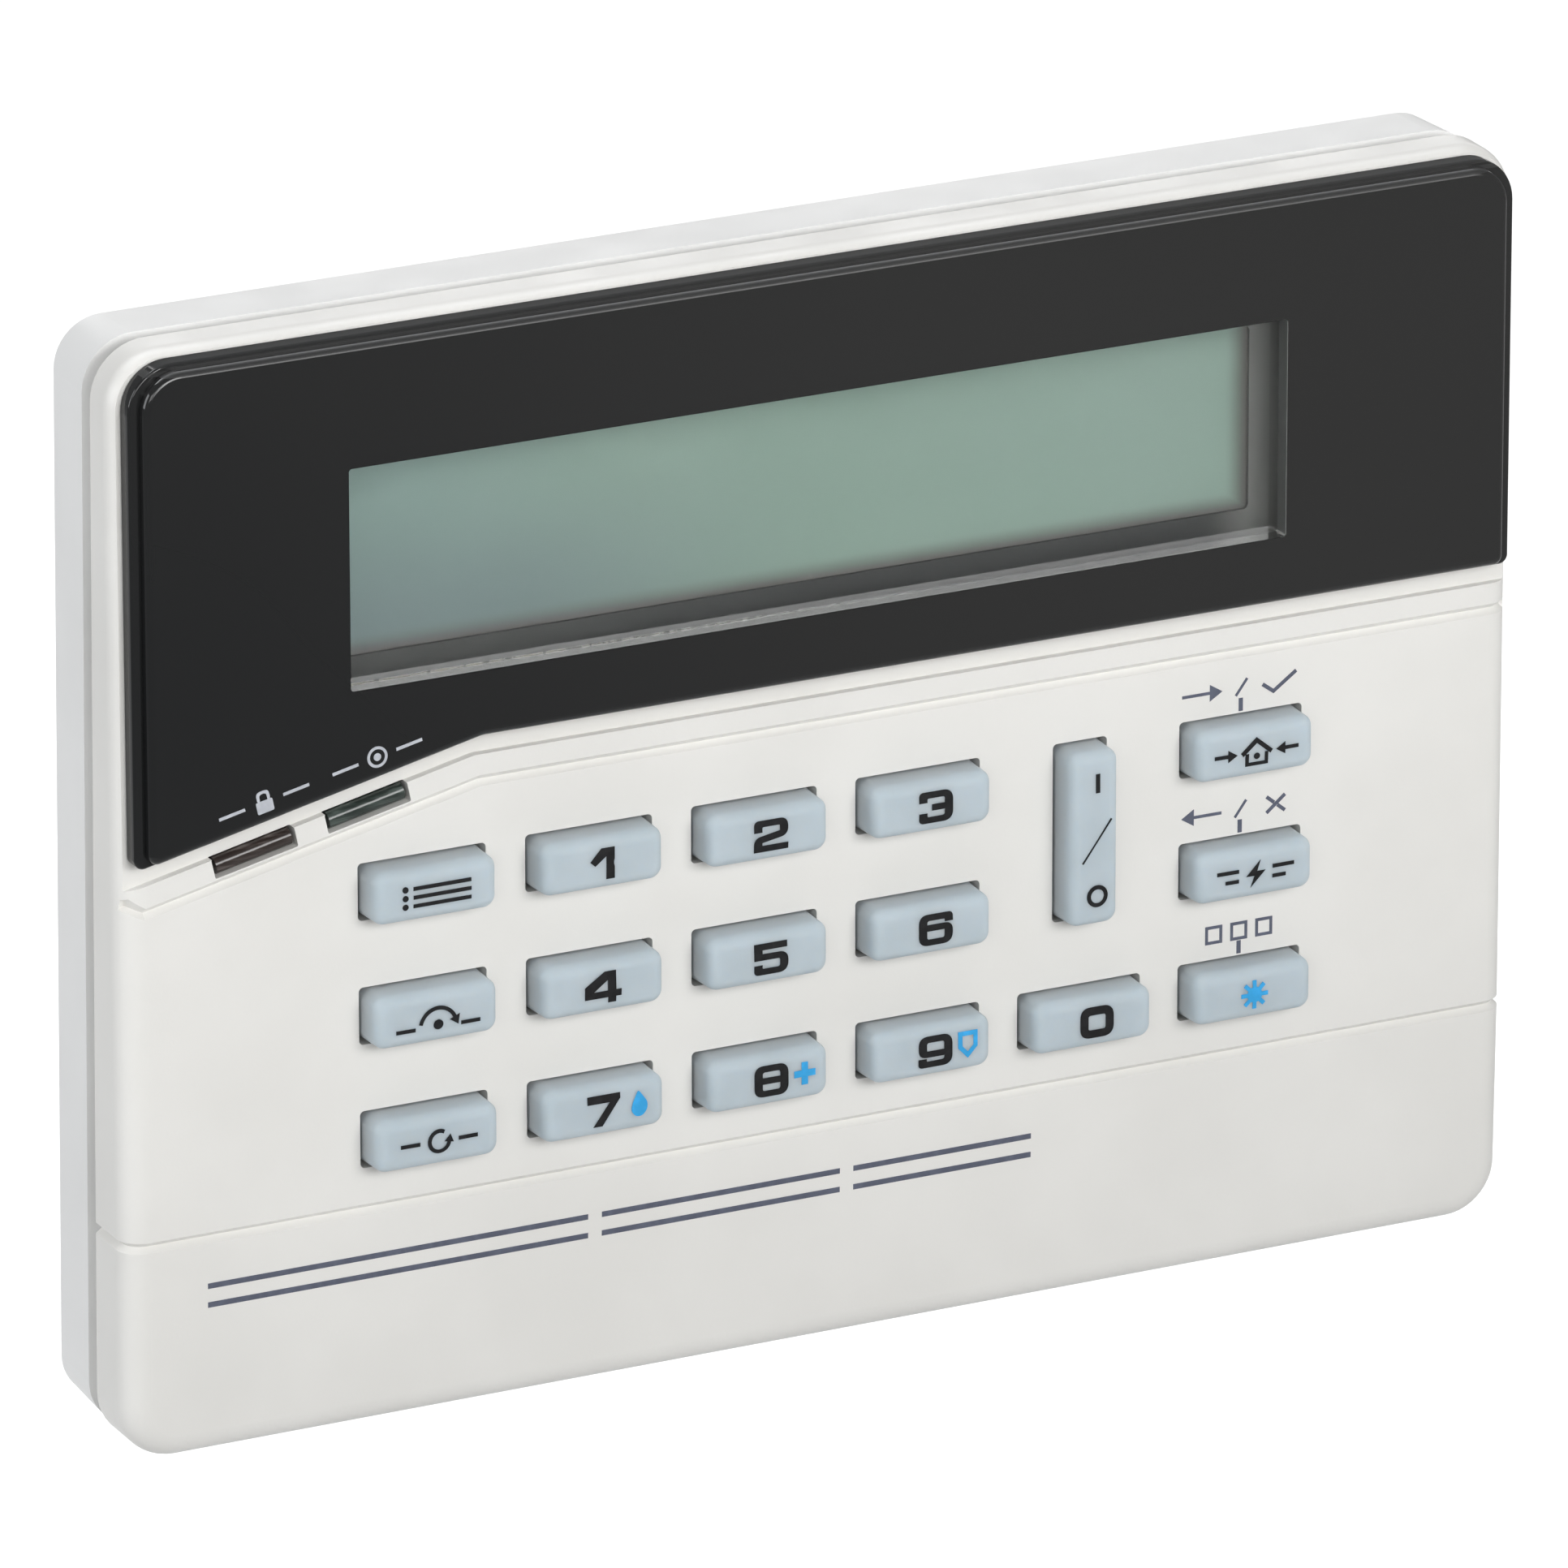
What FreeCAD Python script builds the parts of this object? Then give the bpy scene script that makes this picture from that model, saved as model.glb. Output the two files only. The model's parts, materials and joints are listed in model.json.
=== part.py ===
import FreeCAD, Part
import math
import os

# Wall-mounted alarm keypad panel, in millimetres.
# Frame: origin at the centre of the back face, X to the right seen from the front,
# Y into the wall, Z up. The front of the panel faces -Y.

V = FreeCAD.Vector

# ---- driving dimensions: case ----
WIDTH = 162.0                 # front cover, left to right
HEIGHT = 120.6                # front cover, bottom to top
CORNER_R = 6.0                # outline corners of the front cover
FRONT_R = 2.7                 # rounded edge round the front
FACE_DEPTH = 17.4             # wall plane to front face, at mid height
FACE_TILT = 1.2               # degrees; the face leans so that the case is thicker lower down
CHIN_TOP = -36.0              # height of the lower groove, where the flat chin starts
WALL = 2.0                    # side walls of the front cover
FACE_WALL = 2.4               # front wall of the front cover

REAR_DEPTH = 7.8              # rear cover, wall plane to its front edge
REAR_INSET_WALL = 0.75        # rear cover is this much smaller all round at the wall
REAR_INSET_FRONT = 0.35       # and this much smaller at its front edge
REAR_FLOOR = 2.0
PARTING_GAP = 2.8             # shadow gap between the two covers
TONGUE_INSET = 2.2            # outside of the tongue that enters the front cover
TONGUE_WALL = 1.2
TONGUE_REACH = 13.0           # wall plane to the tongue's front edge

# ---- driving dimensions: display lens ----
LENS_INSET = 1.15             # sides, from the outline
LENS_TOP = 59.55
LENS_BOTTOM = 14.2
LENS_KNEE_X = -40.9           # left of this the lower edge slopes down
LENS_SLOPE = 12.45            # degrees
LENS_R = 5.0                  # upper corners
LENS_PROUD = 2.4              # front of the upper plate, ahead of the face
LENS_FLANGE_PROUD = 1.1       # front of the flange round it
LENS_STEP_SIDE = 1.2          # the flange is this much larger than the upper plate
LENS_STEP_TOP = 0.65
LENS_STEP_BOTTOM = 0.35
POCKET_DEPTH = 0.95
POCKET_MARGIN = 2.4           # pocket below the lens
TAPE_T = 0.15
WINDOW_X = -1.8              # centre of the window and the display
WINDOW_Z = 33.8
WINDOW_W = 108.4
WINDOW_H = 24.0

# ---- driving dimensions: grooves and status slots ----
GROOVE_HALF = 0.6
GROOVE_DEPTH = 0.7
UPPER_GROOVE_DROP = 5.3       # below the lens edge
SLOT_W = 9.6
SLOT_H = 2.2
SLOT_XS = {"armed": -65.9, "status": -53.1}

# ---- driving dimensions: keys ----
KEY_PITCH_X = 19.1
KEY_PITCH_Z = 13.6
KEY_FIELD_X = 0.7             # centre of the six columns
KEY_TOP_Z = -1.05             # centre of the top row
OPENING_W = 14.6
OPENING_H = 6.3
TALL_OPENING_W = 6.4
OPENING_R = 0.5
KEY_GAP = 0.25                # key to opening, each side
KEY_R = 1.5
KEY_EDGE_R = 0.8
KEY_PROUD = 3.7
KEY_TRAVEL = 1.2              # until the pill meets the board
FLANGE_MARGIN = 1.15
FLANGE_FRONT = 2.7
FLANGE_T = 0.8
PILL_T = 0.45                 # carbon pill on the stem
PILL_CLEAR = 0.05             # left between pill and board at full travel

# ---- driving dimensions: boards, measured back from the front face ----
BOARD_FRONT = 6.15
BOARD_T = 1.6
BOARD_X = 74.0
BOARD_TOP = 10.2
BOARD_BOTTOM = -53.0
MAT_T = 1.0
LCD_FRONT = 3.85
LCD_BOARD_FRONT = 7.9
LCD_BOARD_W = 122.0
LCD_BOARD_H = 44.0
LCD_VIEW_W = 104.6
LCD_VIEW_H = 20.2
PILOT_R = 1.05
SCREW_R = 1.0

# ---- driving dimensions: wall fixing ----
WIRE_W = 46.0
WIRE_H = 34.0
HOLE_R = 2.2
WALL_SCREWS_X = 114.3         # hole to hole
WALL_SCREWS_Z = 76.2
GANG_SCREWS_Z = 83.3

COLUMNS = [KEY_FIELD_X + (i - 2.5) * KEY_PITCH_X for i in range(6)]
ROWS = [KEY_TOP_Z - i * KEY_PITCH_Z for i in range(3)]
TALL_OPENING_H = KEY_PITCH_Z + OPENING_H
CASE_SPLIT = REAR_DEPTH + PARTING_GAP
CHIN_DEPTH = FACE_DEPTH - CHIN_TOP * math.tan(math.radians(FACE_TILT))
BOARD_BACK = BOARD_FRONT + BOARD_T
STEM_END = BOARD_FRONT - PILL_CLEAR - KEY_TRAVEL - PILL_T
LENS_X = WIDTH / 2 - LENS_INSET
LENS_BACK = POCKET_DEPTH - TAPE_T
SLOPE = math.tan(math.radians(LENS_SLOPE))

BOARD_SCREWS = [(-69, -8), (-69, -47), (69, -47), (69, -8), (-4, 7.2), (42, 7.2)]
LCD_SCREWS = [(WINDOW_X + sx * 57.5, WINDOW_Z + sz * 18.5) for sx in (-1, 1) for sz in (-1, 1)]
JUMPER_XS = [-45 + i * 2.54 for i in range(14)]
JUMPER_LOW_Z = 8.0
JUMPER_HIGH_Z = 13.4

# key name: (column, centre height, opening width, opening height)
KEYS = {
    "key_function": (0, ROWS[0], OPENING_W, OPENING_H),
    "key_bypass": (0, ROWS[1], OPENING_W, OPENING_H),
    "key_reset": (0, ROWS[2], OPENING_W, OPENING_H),
    "key_on_off": (4, (ROWS[0] + ROWS[1]) / 2, TALL_OPENING_W, TALL_OPENING_H),
    "key_0": (4, ROWS[2], OPENING_W, OPENING_H),
    "key_interior": (5, ROWS[0], OPENING_W, OPENING_H),
    "key_instant": (5, ROWS[1], OPENING_W, OPENING_H),
    "key_star": (5, ROWS[2], OPENING_W, OPENING_H),
}
for digit in range(1, 10):
    KEYS["key_%d" % digit] = (1 + (digit - 1) % 3, ROWS[(digit - 1) // 3], OPENING_W, OPENING_H)


# ---- helpers ----
def rounded_wire(corners, y=0.0):
    """Closed wire in the plane y, from (x, z, radius) corners in order."""
    count = len(corners)
    points = [V(x, y, z) for x, z, _ in corners]
    starts, mids, ends = [], [], []
    for i, (_, _, radius) in enumerate(corners):
        back = (points[i - 1] - points[i]).normalize()
        ahead = (points[(i + 1) % count] - points[i]).normalize()
        half = back.getAngle(ahead) / 2
        inward = (back + ahead).normalize()
        starts.append(points[i] + back * (radius / math.tan(half)))
        ends.append(points[i] + ahead * (radius / math.tan(half)))
        mids.append(points[i] + inward * (radius / math.sin(half) - radius))
    edges = []
    for i, (_, _, radius) in enumerate(corners):
        if radius > 0:
            edges.append(Part.Arc(starts[i], mids[i], ends[i]).toShape())
        edges.append(Part.LineSegment(ends[i], starts[(i + 1) % count]).toShape())
    return Part.Wire(edges)


def prism(corners, y0, y1):
    """Plate with rounded corners between the planes y0 and y1."""
    return Part.Face(rounded_wire(corners, y0)).extrude(V(0, y1 - y0, 0))


def rectangle(x, z, width, height, radius=0.0):
    return [(x - width / 2, z - height / 2, radius), (x + width / 2, z - height / 2, radius),
            (x + width / 2, z + height / 2, radius), (x - width / 2, z + height / 2, radius)]


def block(x, z, width, height, y0, y1, radius=0.0):
    return prism(rectangle(x, z, width, height, radius), y0, y1)


def rod(x, z, radius, y0, y1):
    return Part.makeCylinder(radius, y1 - y0, V(x, y0, z), V(0, 1, 0))


def outline(inset):
    """The case outline, moved inwards by inset."""
    return rectangle(0, 0, WIDTH - 2 * inset, HEIGHT - 2 * inset, max(CORNER_R - inset, 1.5))


def join(shapes):
    return shapes[0].fuse(shapes[1:]).removeSplitter()


def on_face(shape):
    """Carry a shape from the face's own frame (y = 0 on the front face) into the case."""
    placed = shape.copy()
    placed.rotate(V(0, 0, 0), V(1, 0, 0), -FACE_TILT)
    placed.translate(V(0, -FACE_DEPTH, 0))
    return placed


def round_front(shape, radius, edge_is_front):
    return shape.makeFillet(radius, [edge for edge in shape.Edges if edge_is_front(edge)])


def lies_at(y):
    """Test for edges that lie in the plane y."""
    return lambda edge: max(abs(edge.BoundBox.YMin - y), abs(edge.BoundBox.YMax - y)) < 0.001


def lens_corners(side_inset, top_inset, bottom_inset, corner):
    """Outline of the lens, moved inwards by the three insets."""
    side, top = LENS_X - side_inset, LENS_TOP - top_inset
    bottom = LENS_BOTTOM + bottom_inset
    left_bottom = bottom - (side + LENS_KNEE_X) * SLOPE
    return [(-side, top, corner), (-side, left_bottom, 1.0), (LENS_KNEE_X, bottom, 3.0),
            (side, bottom, 1.0), (side, top, corner)]


def slot_centre(x):
    """Centre of a status slot at x: the slots hang from the sloped edge of the lens pocket."""
    drop = (POCKET_MARGIN - 0.1 + SLOT_H / 2) / math.cos(math.radians(LENS_SLOPE))
    return LENS_BOTTOM - (LENS_KNEE_X - x) * SLOPE - drop


def along_slope(shape, x):
    """Turn a shape about its status slot's centre so that it follows the slope."""
    turned = shape.copy()
    turned.rotate(V(x, 0, slot_centre(x)), V(0, 1, 0), -LENS_SLOPE)
    return turned


# ---- front cover ----
def front_body():
    """Outside of the front cover: a leaning face above, a flat chin below."""
    leaning = prism(outline(0), -CASE_SPLIT, -30)
    ahead = on_face(Part.makeBox(400, 60, 400, V(-200, -60, -200)))
    leaning = leaning.cut(ahead)
    normal = V(0, math.cos(math.radians(FACE_TILT)), -math.sin(math.radians(FACE_TILT)))
    origin = V(0, -FACE_DEPTH, 0)

    def on_leaning_face(edge):
        ends = [vertex.Point for vertex in edge.Vertexes] + [edge.CenterOfMass]
        return all(abs((point - origin).dot(normal)) < 0.01 for point in ends)

    leaning = round_front(leaning, FRONT_R, on_leaning_face)
    chin = round_front(prism(outline(0), -CASE_SPLIT, -CHIN_DEPTH), FRONT_R, lies_at(-CHIN_DEPTH))
    return leaning.common(chin)


def groove_profile(point, inward, across):
    """Triangular groove section: the tip lies inside the surface, the mouth just outside it."""
    lift = 0.4
    spread = GROOVE_HALF * (GROOVE_DEPTH + lift) / GROOVE_DEPTH
    corners = [point + inward * GROOVE_DEPTH, point - inward * lift + across * spread,
               point - inward * lift - across * spread]
    return Part.makePolygon(corners + corners[:1])


def lower_groove():
    """Groove along the top of the chin, carried round both sides to the case split."""
    side, z = WIDTH / 2, CHIN_TOP
    bend = FRONT_R * math.sqrt(0.5)
    path = []
    for sign in (-1, 1):
        start = V(sign * side, -CASE_SPLIT + 1, z)
        before = V(sign * side, -CHIN_DEPTH + FRONT_R, z)
        middle = V(sign * (side - FRONT_R + bend), -CHIN_DEPTH + FRONT_R - bend, z)
        after = V(sign * (side - FRONT_R), -CHIN_DEPTH, z)
        half = [Part.LineSegment(start, before).toShape(), Part.Arc(before, middle, after).toShape()]
        path.append((half, after))
    front = Part.LineSegment(path[0][1], path[1][1]).toShape()
    wire = Part.Wire(path[0][0] + [front] + path[1][0][::-1])
    profile = groove_profile(V(-side, -CASE_SPLIT + 1, z), V(1, 0, 0), V(0, 0, 1))
    return wire.makePipeShell([profile], True, False)


def groove_run(start, end):
    """Straight stretch of groove on the face."""
    way = (end - start).normalize()
    across = way.cross(V(0, 1, 0))
    return Part.Face(groove_profile(start, V(0, 1, 0), across)).extrude(end - start)


def groove_turn(point, way, angle):
    """Groove carried round the front edge from point, heading along way."""
    across = way.cross(V(0, 1, 0))
    face = Part.Face(groove_profile(point, V(0, 1, 0), across))
    return face.revolve(point + V(0, FRONT_R, 0), V(0, 1, 0).cross(way) * -1, angle)


def groove_joint(point):
    lift = 0.4
    mouth = GROOVE_HALF * (GROOVE_DEPTH + lift) / GROOVE_DEPTH
    return Part.makeCone(mouth, 0, GROOVE_DEPTH + lift, point - V(0, lift, 0), V(0, 1, 0))


def upper_groove():
    """Groove below the lens: level on the right, sloping on the left, wrapped round both edges."""
    reach = WIDTH / 2 - FRONT_R
    level = LENS_BOTTOM - UPPER_GROOVE_DROP
    knee_x = LENS_KNEE_X + UPPER_GROOVE_DROP * math.tan(math.radians(LENS_SLOPE / 2))
    right = V(reach, 0, level)
    knee = V(knee_x, 0, level)
    left = V(-reach, 0, level - (reach + knee_x) * SLOPE)
    lift = math.radians(25)
    runs = [groove_run(knee, right), groove_run(knee, left)]
    turns = [groove_turn(right, V(1, 0, 0), 70),
             groove_turn(left, V(-math.cos(lift), 0, math.sin(lift)), 62)]
    return runs + turns + [groove_joint(knee), groove_joint(left)]


def boss(x, z, radius, end):
    return rod(x, z, radius, FACE_WALL - 0.2, end)


def snap_places():
    """Centres of the snap bumps along the top and bottom walls, with the wall's direction."""
    return [(x, sign) for x in (-45, 45) for sign in (-1, 1)]


def make_front_cover():
    cover = front_body()
    cavity = prism(outline(WALL), -CASE_SPLIT + 1, -30)
    cavity = cavity.cut(on_face(Part.makeBox(400, 60, 400, V(-200, FACE_WALL - 60, -200))))
    cover = cover.cut(cavity)
    posts = [boss(x, z, 2.4, BOARD_FRONT) for x, z in BOARD_SCREWS]
    posts += [boss(x, z, 2.2, LCD_BOARD_FRONT) for x, z in LCD_SCREWS]
    cover = join([cover] + [on_face(post) for post in posts])

    edge = LENS_BOTTOM - POCKET_MARGIN
    left_edge = edge - (WIDTH + LENS_KNEE_X) * SLOPE
    pocket = prism([(-WIDTH, HEIGHT, 0), (-WIDTH, left_edge, 0), (LENS_KNEE_X, edge, 3.0),
                    (WIDTH, edge, 0), (WIDTH, HEIGHT, 0)], -10, POCKET_DEPTH)
    tools = [pocket, block(WINDOW_X, WINDOW_Z, WINDOW_W + 3.6, WINDOW_H + 4, -1, 4, 1.0)]
    for column, z, width, height in KEYS.values():
        tools.append(block(COLUMNS[column], z, width, height, -1, 4, OPENING_R))
    for x in SLOT_XS.values():
        tools.append(along_slope(block(x, slot_centre(x), SLOT_W, SLOT_H, -1, 4, 0.2), x))
    tools += [rod(x, z, PILOT_R, FACE_WALL + 0.4, BOARD_FRONT + 1) for x, z in BOARD_SCREWS]
    tools += [rod(x, z, PILOT_R, FACE_WALL + 0.4, LCD_BOARD_FRONT + 1) for x, z in LCD_SCREWS]
    cover = cover.cut([on_face(tool) for tool in tools + upper_groove()])

    cover = cover.cut(lower_groove())
    inner = HEIGHT / 2 - WALL
    for x, sign in snap_places():
        cover = cover.cut(block(x, sign * inner, 9.0, 1.4, -12.8, -11.2))
    for x in (-35, 35):
        cover = cover.cut(block(x, -HEIGHT / 2, 9.0, 3 * WALL, -CASE_SPLIT - 1.2, -CASE_SPLIT + 1))
    return cover


# ---- rear cover ----
def make_rear_cover():
    wall_wire = rounded_wire(outline(REAR_INSET_WALL), 0)
    front_wire = rounded_wire(outline(REAR_INSET_FRONT), -REAR_DEPTH)
    tray = Part.makeLoft([wall_wire, front_wire], True, True)
    tongue = prism(outline(TONGUE_INSET), -REAR_DEPTH + 0.5, -TONGUE_REACH)
    bumps = [block(x, sign * (HEIGHT / 2 - TONGUE_INSET), 8.0, 0.9, -12.6, -11.4)
             for x, sign in snap_places()]
    shell = join([tray, tongue] + bumps)
    shell = shell.cut(prism(outline(TONGUE_INSET + TONGUE_WALL), -REAR_FLOOR, -TONGUE_REACH - 1))

    posts = [rod(x, z, 2.5, -9.0, -REAR_FLOOR + 0.2) for x, z in ((-46, 2), (52, 2), (-46, -50), (30, -50))]
    rim_outer = block(0, 0, WIRE_W + 3, WIRE_H + 3, -REAR_FLOOR - 1.2, -REAR_FLOOR + 0.2, 3.5)
    holes = [(sx * WALL_SCREWS_X / 2, sz * WALL_SCREWS_Z / 2) for sx in (-1, 1) for sz in (-1, 1)]
    holes += [(0, sz * GANG_SCREWS_Z / 2) for sz in (-1, 1)]
    collars = [rod(x, z, 4.5, -REAR_FLOOR - 0.8, -REAR_FLOOR + 0.2) for x, z in holes]
    shell = join([shell, rim_outer] + posts + collars)

    tools = [block(0, 0, WIRE_W, WIRE_H, -8, 1, 2.0)]
    tools += [rod(x, z, HOLE_R, -8, 1) for x, z in holes]
    tools += [block(40 + 4 * i, -HEIGHT / 2 + 2, 1.6, 6, -6.8, -3.2) for i in range(6)]
    return shell.cut(tools)


# ---- display ----
def make_lens_frame():
    upper = prism(lens_corners(LENS_STEP_SIDE, LENS_STEP_TOP, LENS_STEP_BOTTOM, LENS_R - 0.8), -LENS_PROUD, 0.0)
    upper = round_front(upper, 0.8, lies_at(-LENS_PROUD))
    base = prism(lens_corners(0.0, 0.0, 0.0, LENS_R), -LENS_FLANGE_PROUD, LENS_BACK)
    base = round_front(base, 0.3, lies_at(-LENS_FLANGE_PROUD))
    window = block(WINDOW_X, WINDOW_Z, WINDOW_W, WINDOW_H, -LENS_PROUD - 1, LENS_BACK + 1, 0.4)
    return join([upper, base]).cut(window)


def make_lens_window():
    return block(WINDOW_X, WINDOW_Z, WINDOW_W - 0.06, WINDOW_H - 0.06, -LENS_PROUD, LENS_BACK, 0.37)


def make_lens_tape():
    """Double-sided tape between the lens and the floor of its pocket."""
    ring = prism(lens_corners(1.5, 1.5, 1.5, 3.5), LENS_BACK, POCKET_DEPTH)
    hole = block(WINDOW_X, WINDOW_Z, WINDOW_W + 5.6, WINDOW_H + 5.6, LENS_BACK - 1, POCKET_DEPTH + 1, 1.5)
    return ring.cut(hole)


def make_lcd_bezel():
    outer = block(WINDOW_X, WINDOW_Z, 115.0, 32.0, LCD_FRONT, LCD_BOARD_FRONT, 0.8)
    inner = block(WINDOW_X, WINDOW_Z, 114.0, 31.0, LCD_FRONT + 0.4, LCD_BOARD_FRONT + 1, 0.4)
    view = block(WINDOW_X, WINDOW_Z, LCD_VIEW_W, LCD_VIEW_H, LCD_FRONT - 1, LCD_FRONT + 1, 0.6)
    return outer.cut([inner, view])


def make_lcd_glass():
    return block(WINDOW_X, WINDOW_Z, 112.0, 27.5, LCD_FRONT + 0.4, LCD_FRONT + 2.2)


def make_lcd_backlight():
    panel = block(WINDOW_X, WINDOW_Z, 110.0, 26.0, LCD_FRONT + 2.2, LCD_BOARD_FRONT)
    tab = block(WINDOW_X + 55.9, WINDOW_Z, 1.9, 9.0, LCD_FRONT + 3.2, LCD_BOARD_FRONT)
    return join([panel, tab])


def make_lcd_board():
    board = block(WINDOW_X, WINDOW_Z, LCD_BOARD_W, LCD_BOARD_H, LCD_BOARD_FRONT, LCD_BOARD_FRONT + BOARD_T)
    holes = [rod(x, z, 1.3, 5, 12) for x, z in LCD_SCREWS]
    holes += [rod(x, JUMPER_HIGH_Z, 0.45, 5, 12) for x in JUMPER_XS]
    return board.cut(holes)


def make_lcd_jumpers():
    """Bent wire links from the display board to the main board."""
    radius, rear = 0.3, 10.6
    links = []
    for x in JUMPER_XS:
        high = rod(x, JUMPER_HIGH_Z, radius, LCD_BOARD_FRONT - 0.4, rear + radius)
        low = rod(x, JUMPER_LOW_Z, radius, BOARD_FRONT - 0.4, rear + radius)
        bar = Part.makeCylinder(radius, JUMPER_HIGH_Z - JUMPER_LOW_Z, V(x, rear, JUMPER_LOW_Z), V(0, 0, 1))
        links.append(join([high, low, bar]))
    return Part.makeCompound(links)


# ---- fasteners ----
def make_screw(x, z, seat, length):
    """Pan-head screw driven from the back; seat is the face under its head."""
    head = rod(x, z, 2.0, seat, seat + 1.4)
    shank = rod(x, z, SCREW_R, seat - length, seat + 0.1)
    cross = join([block(x, z, 2.4, 0.5, seat + 0.7, seat + 2), block(x, z, 0.5, 2.4, seat + 0.7, seat + 2)])
    return join([head, shank]).cut(cross)


def make_board_screws():
    return Part.makeCompound([make_screw(x, z, BOARD_BACK, 4.6) for x, z in BOARD_SCREWS])


def make_lcd_screws():
    return Part.makeCompound([make_screw(x, z, LCD_BOARD_FRONT + BOARD_T, 5.6) for x, z in LCD_SCREWS])


# ---- keypad mat and main board ----
def light_places():
    """Key backlight lamps: between the columns, level with the rows."""
    return [((COLUMNS[i] + COLUMNS[i + 1]) / 2, z) for i in (0, 2, 4) for z in ROWS]


def make_keypad_mat():
    left, right = COLUMNS[0] - 13.2, COLUMNS[5] + 13.2
    top, bottom = ROWS[0] + 5.7, ROWS[2] - 9.5
    mat = block((left + right) / 2, (top + bottom) / 2, right - left, top - bottom,
                BOARD_FRONT - MAT_T, BOARD_FRONT, 2.0)
    tools = []
    for column, z, width, height in KEYS.values():
        tools.append(block(COLUMNS[column], z, width - 2.6, height - 0.6,
                           BOARD_FRONT - 2, BOARD_FRONT + 1, 0.8))
    tools += [block(x, z, 3.4, 2.6, BOARD_FRONT - 2, BOARD_FRONT + 1) for x, z in light_places()]
    return mat.cut(tools)


def make_main_board():
    board = block(0, (BOARD_TOP + BOARD_BOTTOM) / 2, 2 * BOARD_X, BOARD_TOP - BOARD_BOTTOM,
                  BOARD_FRONT, BOARD_BACK, 1.0)
    holes = [rod(x, z, 1.3, 4, 10) for x, z in BOARD_SCREWS]
    holes += [rod(x, JUMPER_LOW_Z, 0.45, 4, 10) for x in JUMPER_XS]
    return board.cut(holes)


def make_key_lights():
    lamps = [block(x, z, 2.0, 1.25, BOARD_FRONT - 0.8, BOARD_FRONT) for x, z in light_places()]
    return Part.makeCompound(lamps)


def make_led(x):
    z = slot_centre(x)
    base = rod(x, z, 1.9, BOARD_FRONT - 0.9, BOARD_FRONT)
    barrel = rod(x, z, 1.5, BOARD_FRONT - 1.4, BOARD_FRONT - 0.8)
    dome = Part.makeSphere(1.5, V(x, BOARD_FRONT - 1.4, z))
    return join([base, barrel, dome.common(block(x, z, 4, 4, BOARD_FRONT - 3, BOARD_FRONT - 1.4))])


def make_light_pipe(x):
    """Bar in a status slot: its front is half round, its back has a flange."""
    z = slot_centre(x)
    width, radius = SLOT_W - 0.9, SLOT_H / 2 - 0.12
    front = 0.1
    bar = block(x, z, width, 2 * radius, front + radius, FACE_WALL + 0.5)
    nose = Part.makeCylinder(radius, width, V(x - width / 2, front + radius, z), V(1, 0, 0))
    flange = block(x, z, SLOT_W + 2, SLOT_H + 1.8, FACE_WALL + 0.1, FACE_WALL + 0.6, 0.6)
    return along_slope(join([bar, nose, flange]), x)


def make_processor_chip():
    """Square chip in its socket."""
    socket = block(-36, -24, 20.0, 20.0, BOARD_BACK, BOARD_BACK + 2.2, 0.6)
    chip = block(-36, -24, 16.6, 16.6, BOARD_BACK + 2.2, BOARD_BACK + 4.2, 0.5)
    return join([socket, chip])


def make_wire_connector():
    """Four-way pin header that takes the panel's wires."""
    x, z, width, height = 0, -26, 14.2, 6.4
    shell = block(x, z, width, height, BOARD_BACK, BOARD_BACK + 6.5)
    shell = shell.cut(block(x, z, width - 1.6, height - 1.6, BOARD_BACK + 1.6, BOARD_BACK + 8))
    pins = [block(x + (i - 1.5) * 2.54, z, 0.64, 0.64, BOARD_BACK + 1.5, BOARD_BACK + 6.0) for i in range(4)]
    return join([shell] + pins)


def make_sounder():
    """Buzzer can with a sound hole in its end."""
    can = rod(50, -34, 11.0, BOARD_BACK, BOARD_BACK + 5.0)
    can = round_front(can, 0.8, lies_at(BOARD_BACK + 5.0))
    return can.cut(rod(50, -34, 1.5, BOARD_BACK + 3.5, BOARD_BACK + 6.0))


def make_capacitors():
    cans = []
    for x, z in ((22, -43), (12, -43), (-14, -43)):
        base = block(x, z, 6.6, 6.6, BOARD_BACK, BOARD_BACK + 0.8)
        cans.append(join([base, rod(x, z, 3.15, BOARD_BACK + 0.7, BOARD_BACK + 5.4)]))
    return Part.makeCompound(cans)


def make_voltage_regulator():
    """Power transistor lying flat on the board."""
    x, z = 36, -14
    body = block(x, z, 10.0, 9.0, BOARD_BACK, BOARD_BACK + 4.4)
    tab = block(x, z + 7.4, 10.0, 6.0, BOARD_BACK, BOARD_BACK + 1.3).cut(rod(x, z + 7.6, 1.8, 0, 20))
    legs = [block(x + dx, z - 7.0, 0.8, 5.2, BOARD_BACK + 1.0, BOARD_BACK + 1.5) for dx in (-2.54, 0, 2.54)]
    return join([body, tab] + legs)


def make_crystal():
    return block(-40, -45, 11.0, 4.6, BOARD_BACK, BOARD_BACK + 3.5, 2.2)


def make_address_jumpers():
    """Pin block that sets the panel's address, with one shorting cap."""
    x, z = -62, -30
    base = block(x, z, 5.0, 7.6, BOARD_BACK, BOARD_BACK + 2.5)
    pins = [block(x + dx, z + dz, 0.64, 0.64, BOARD_BACK + 2.4, BOARD_BACK + 6.2)
            for dx in (-1.27, 1.27) for dz in (-2.54, 0, 2.54)]
    cap = block(x, z + 2.54, 5.0, 2.4, BOARD_BACK + 2.6, BOARD_BACK + 6.8)
    return join([base, cap] + pins)


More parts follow.
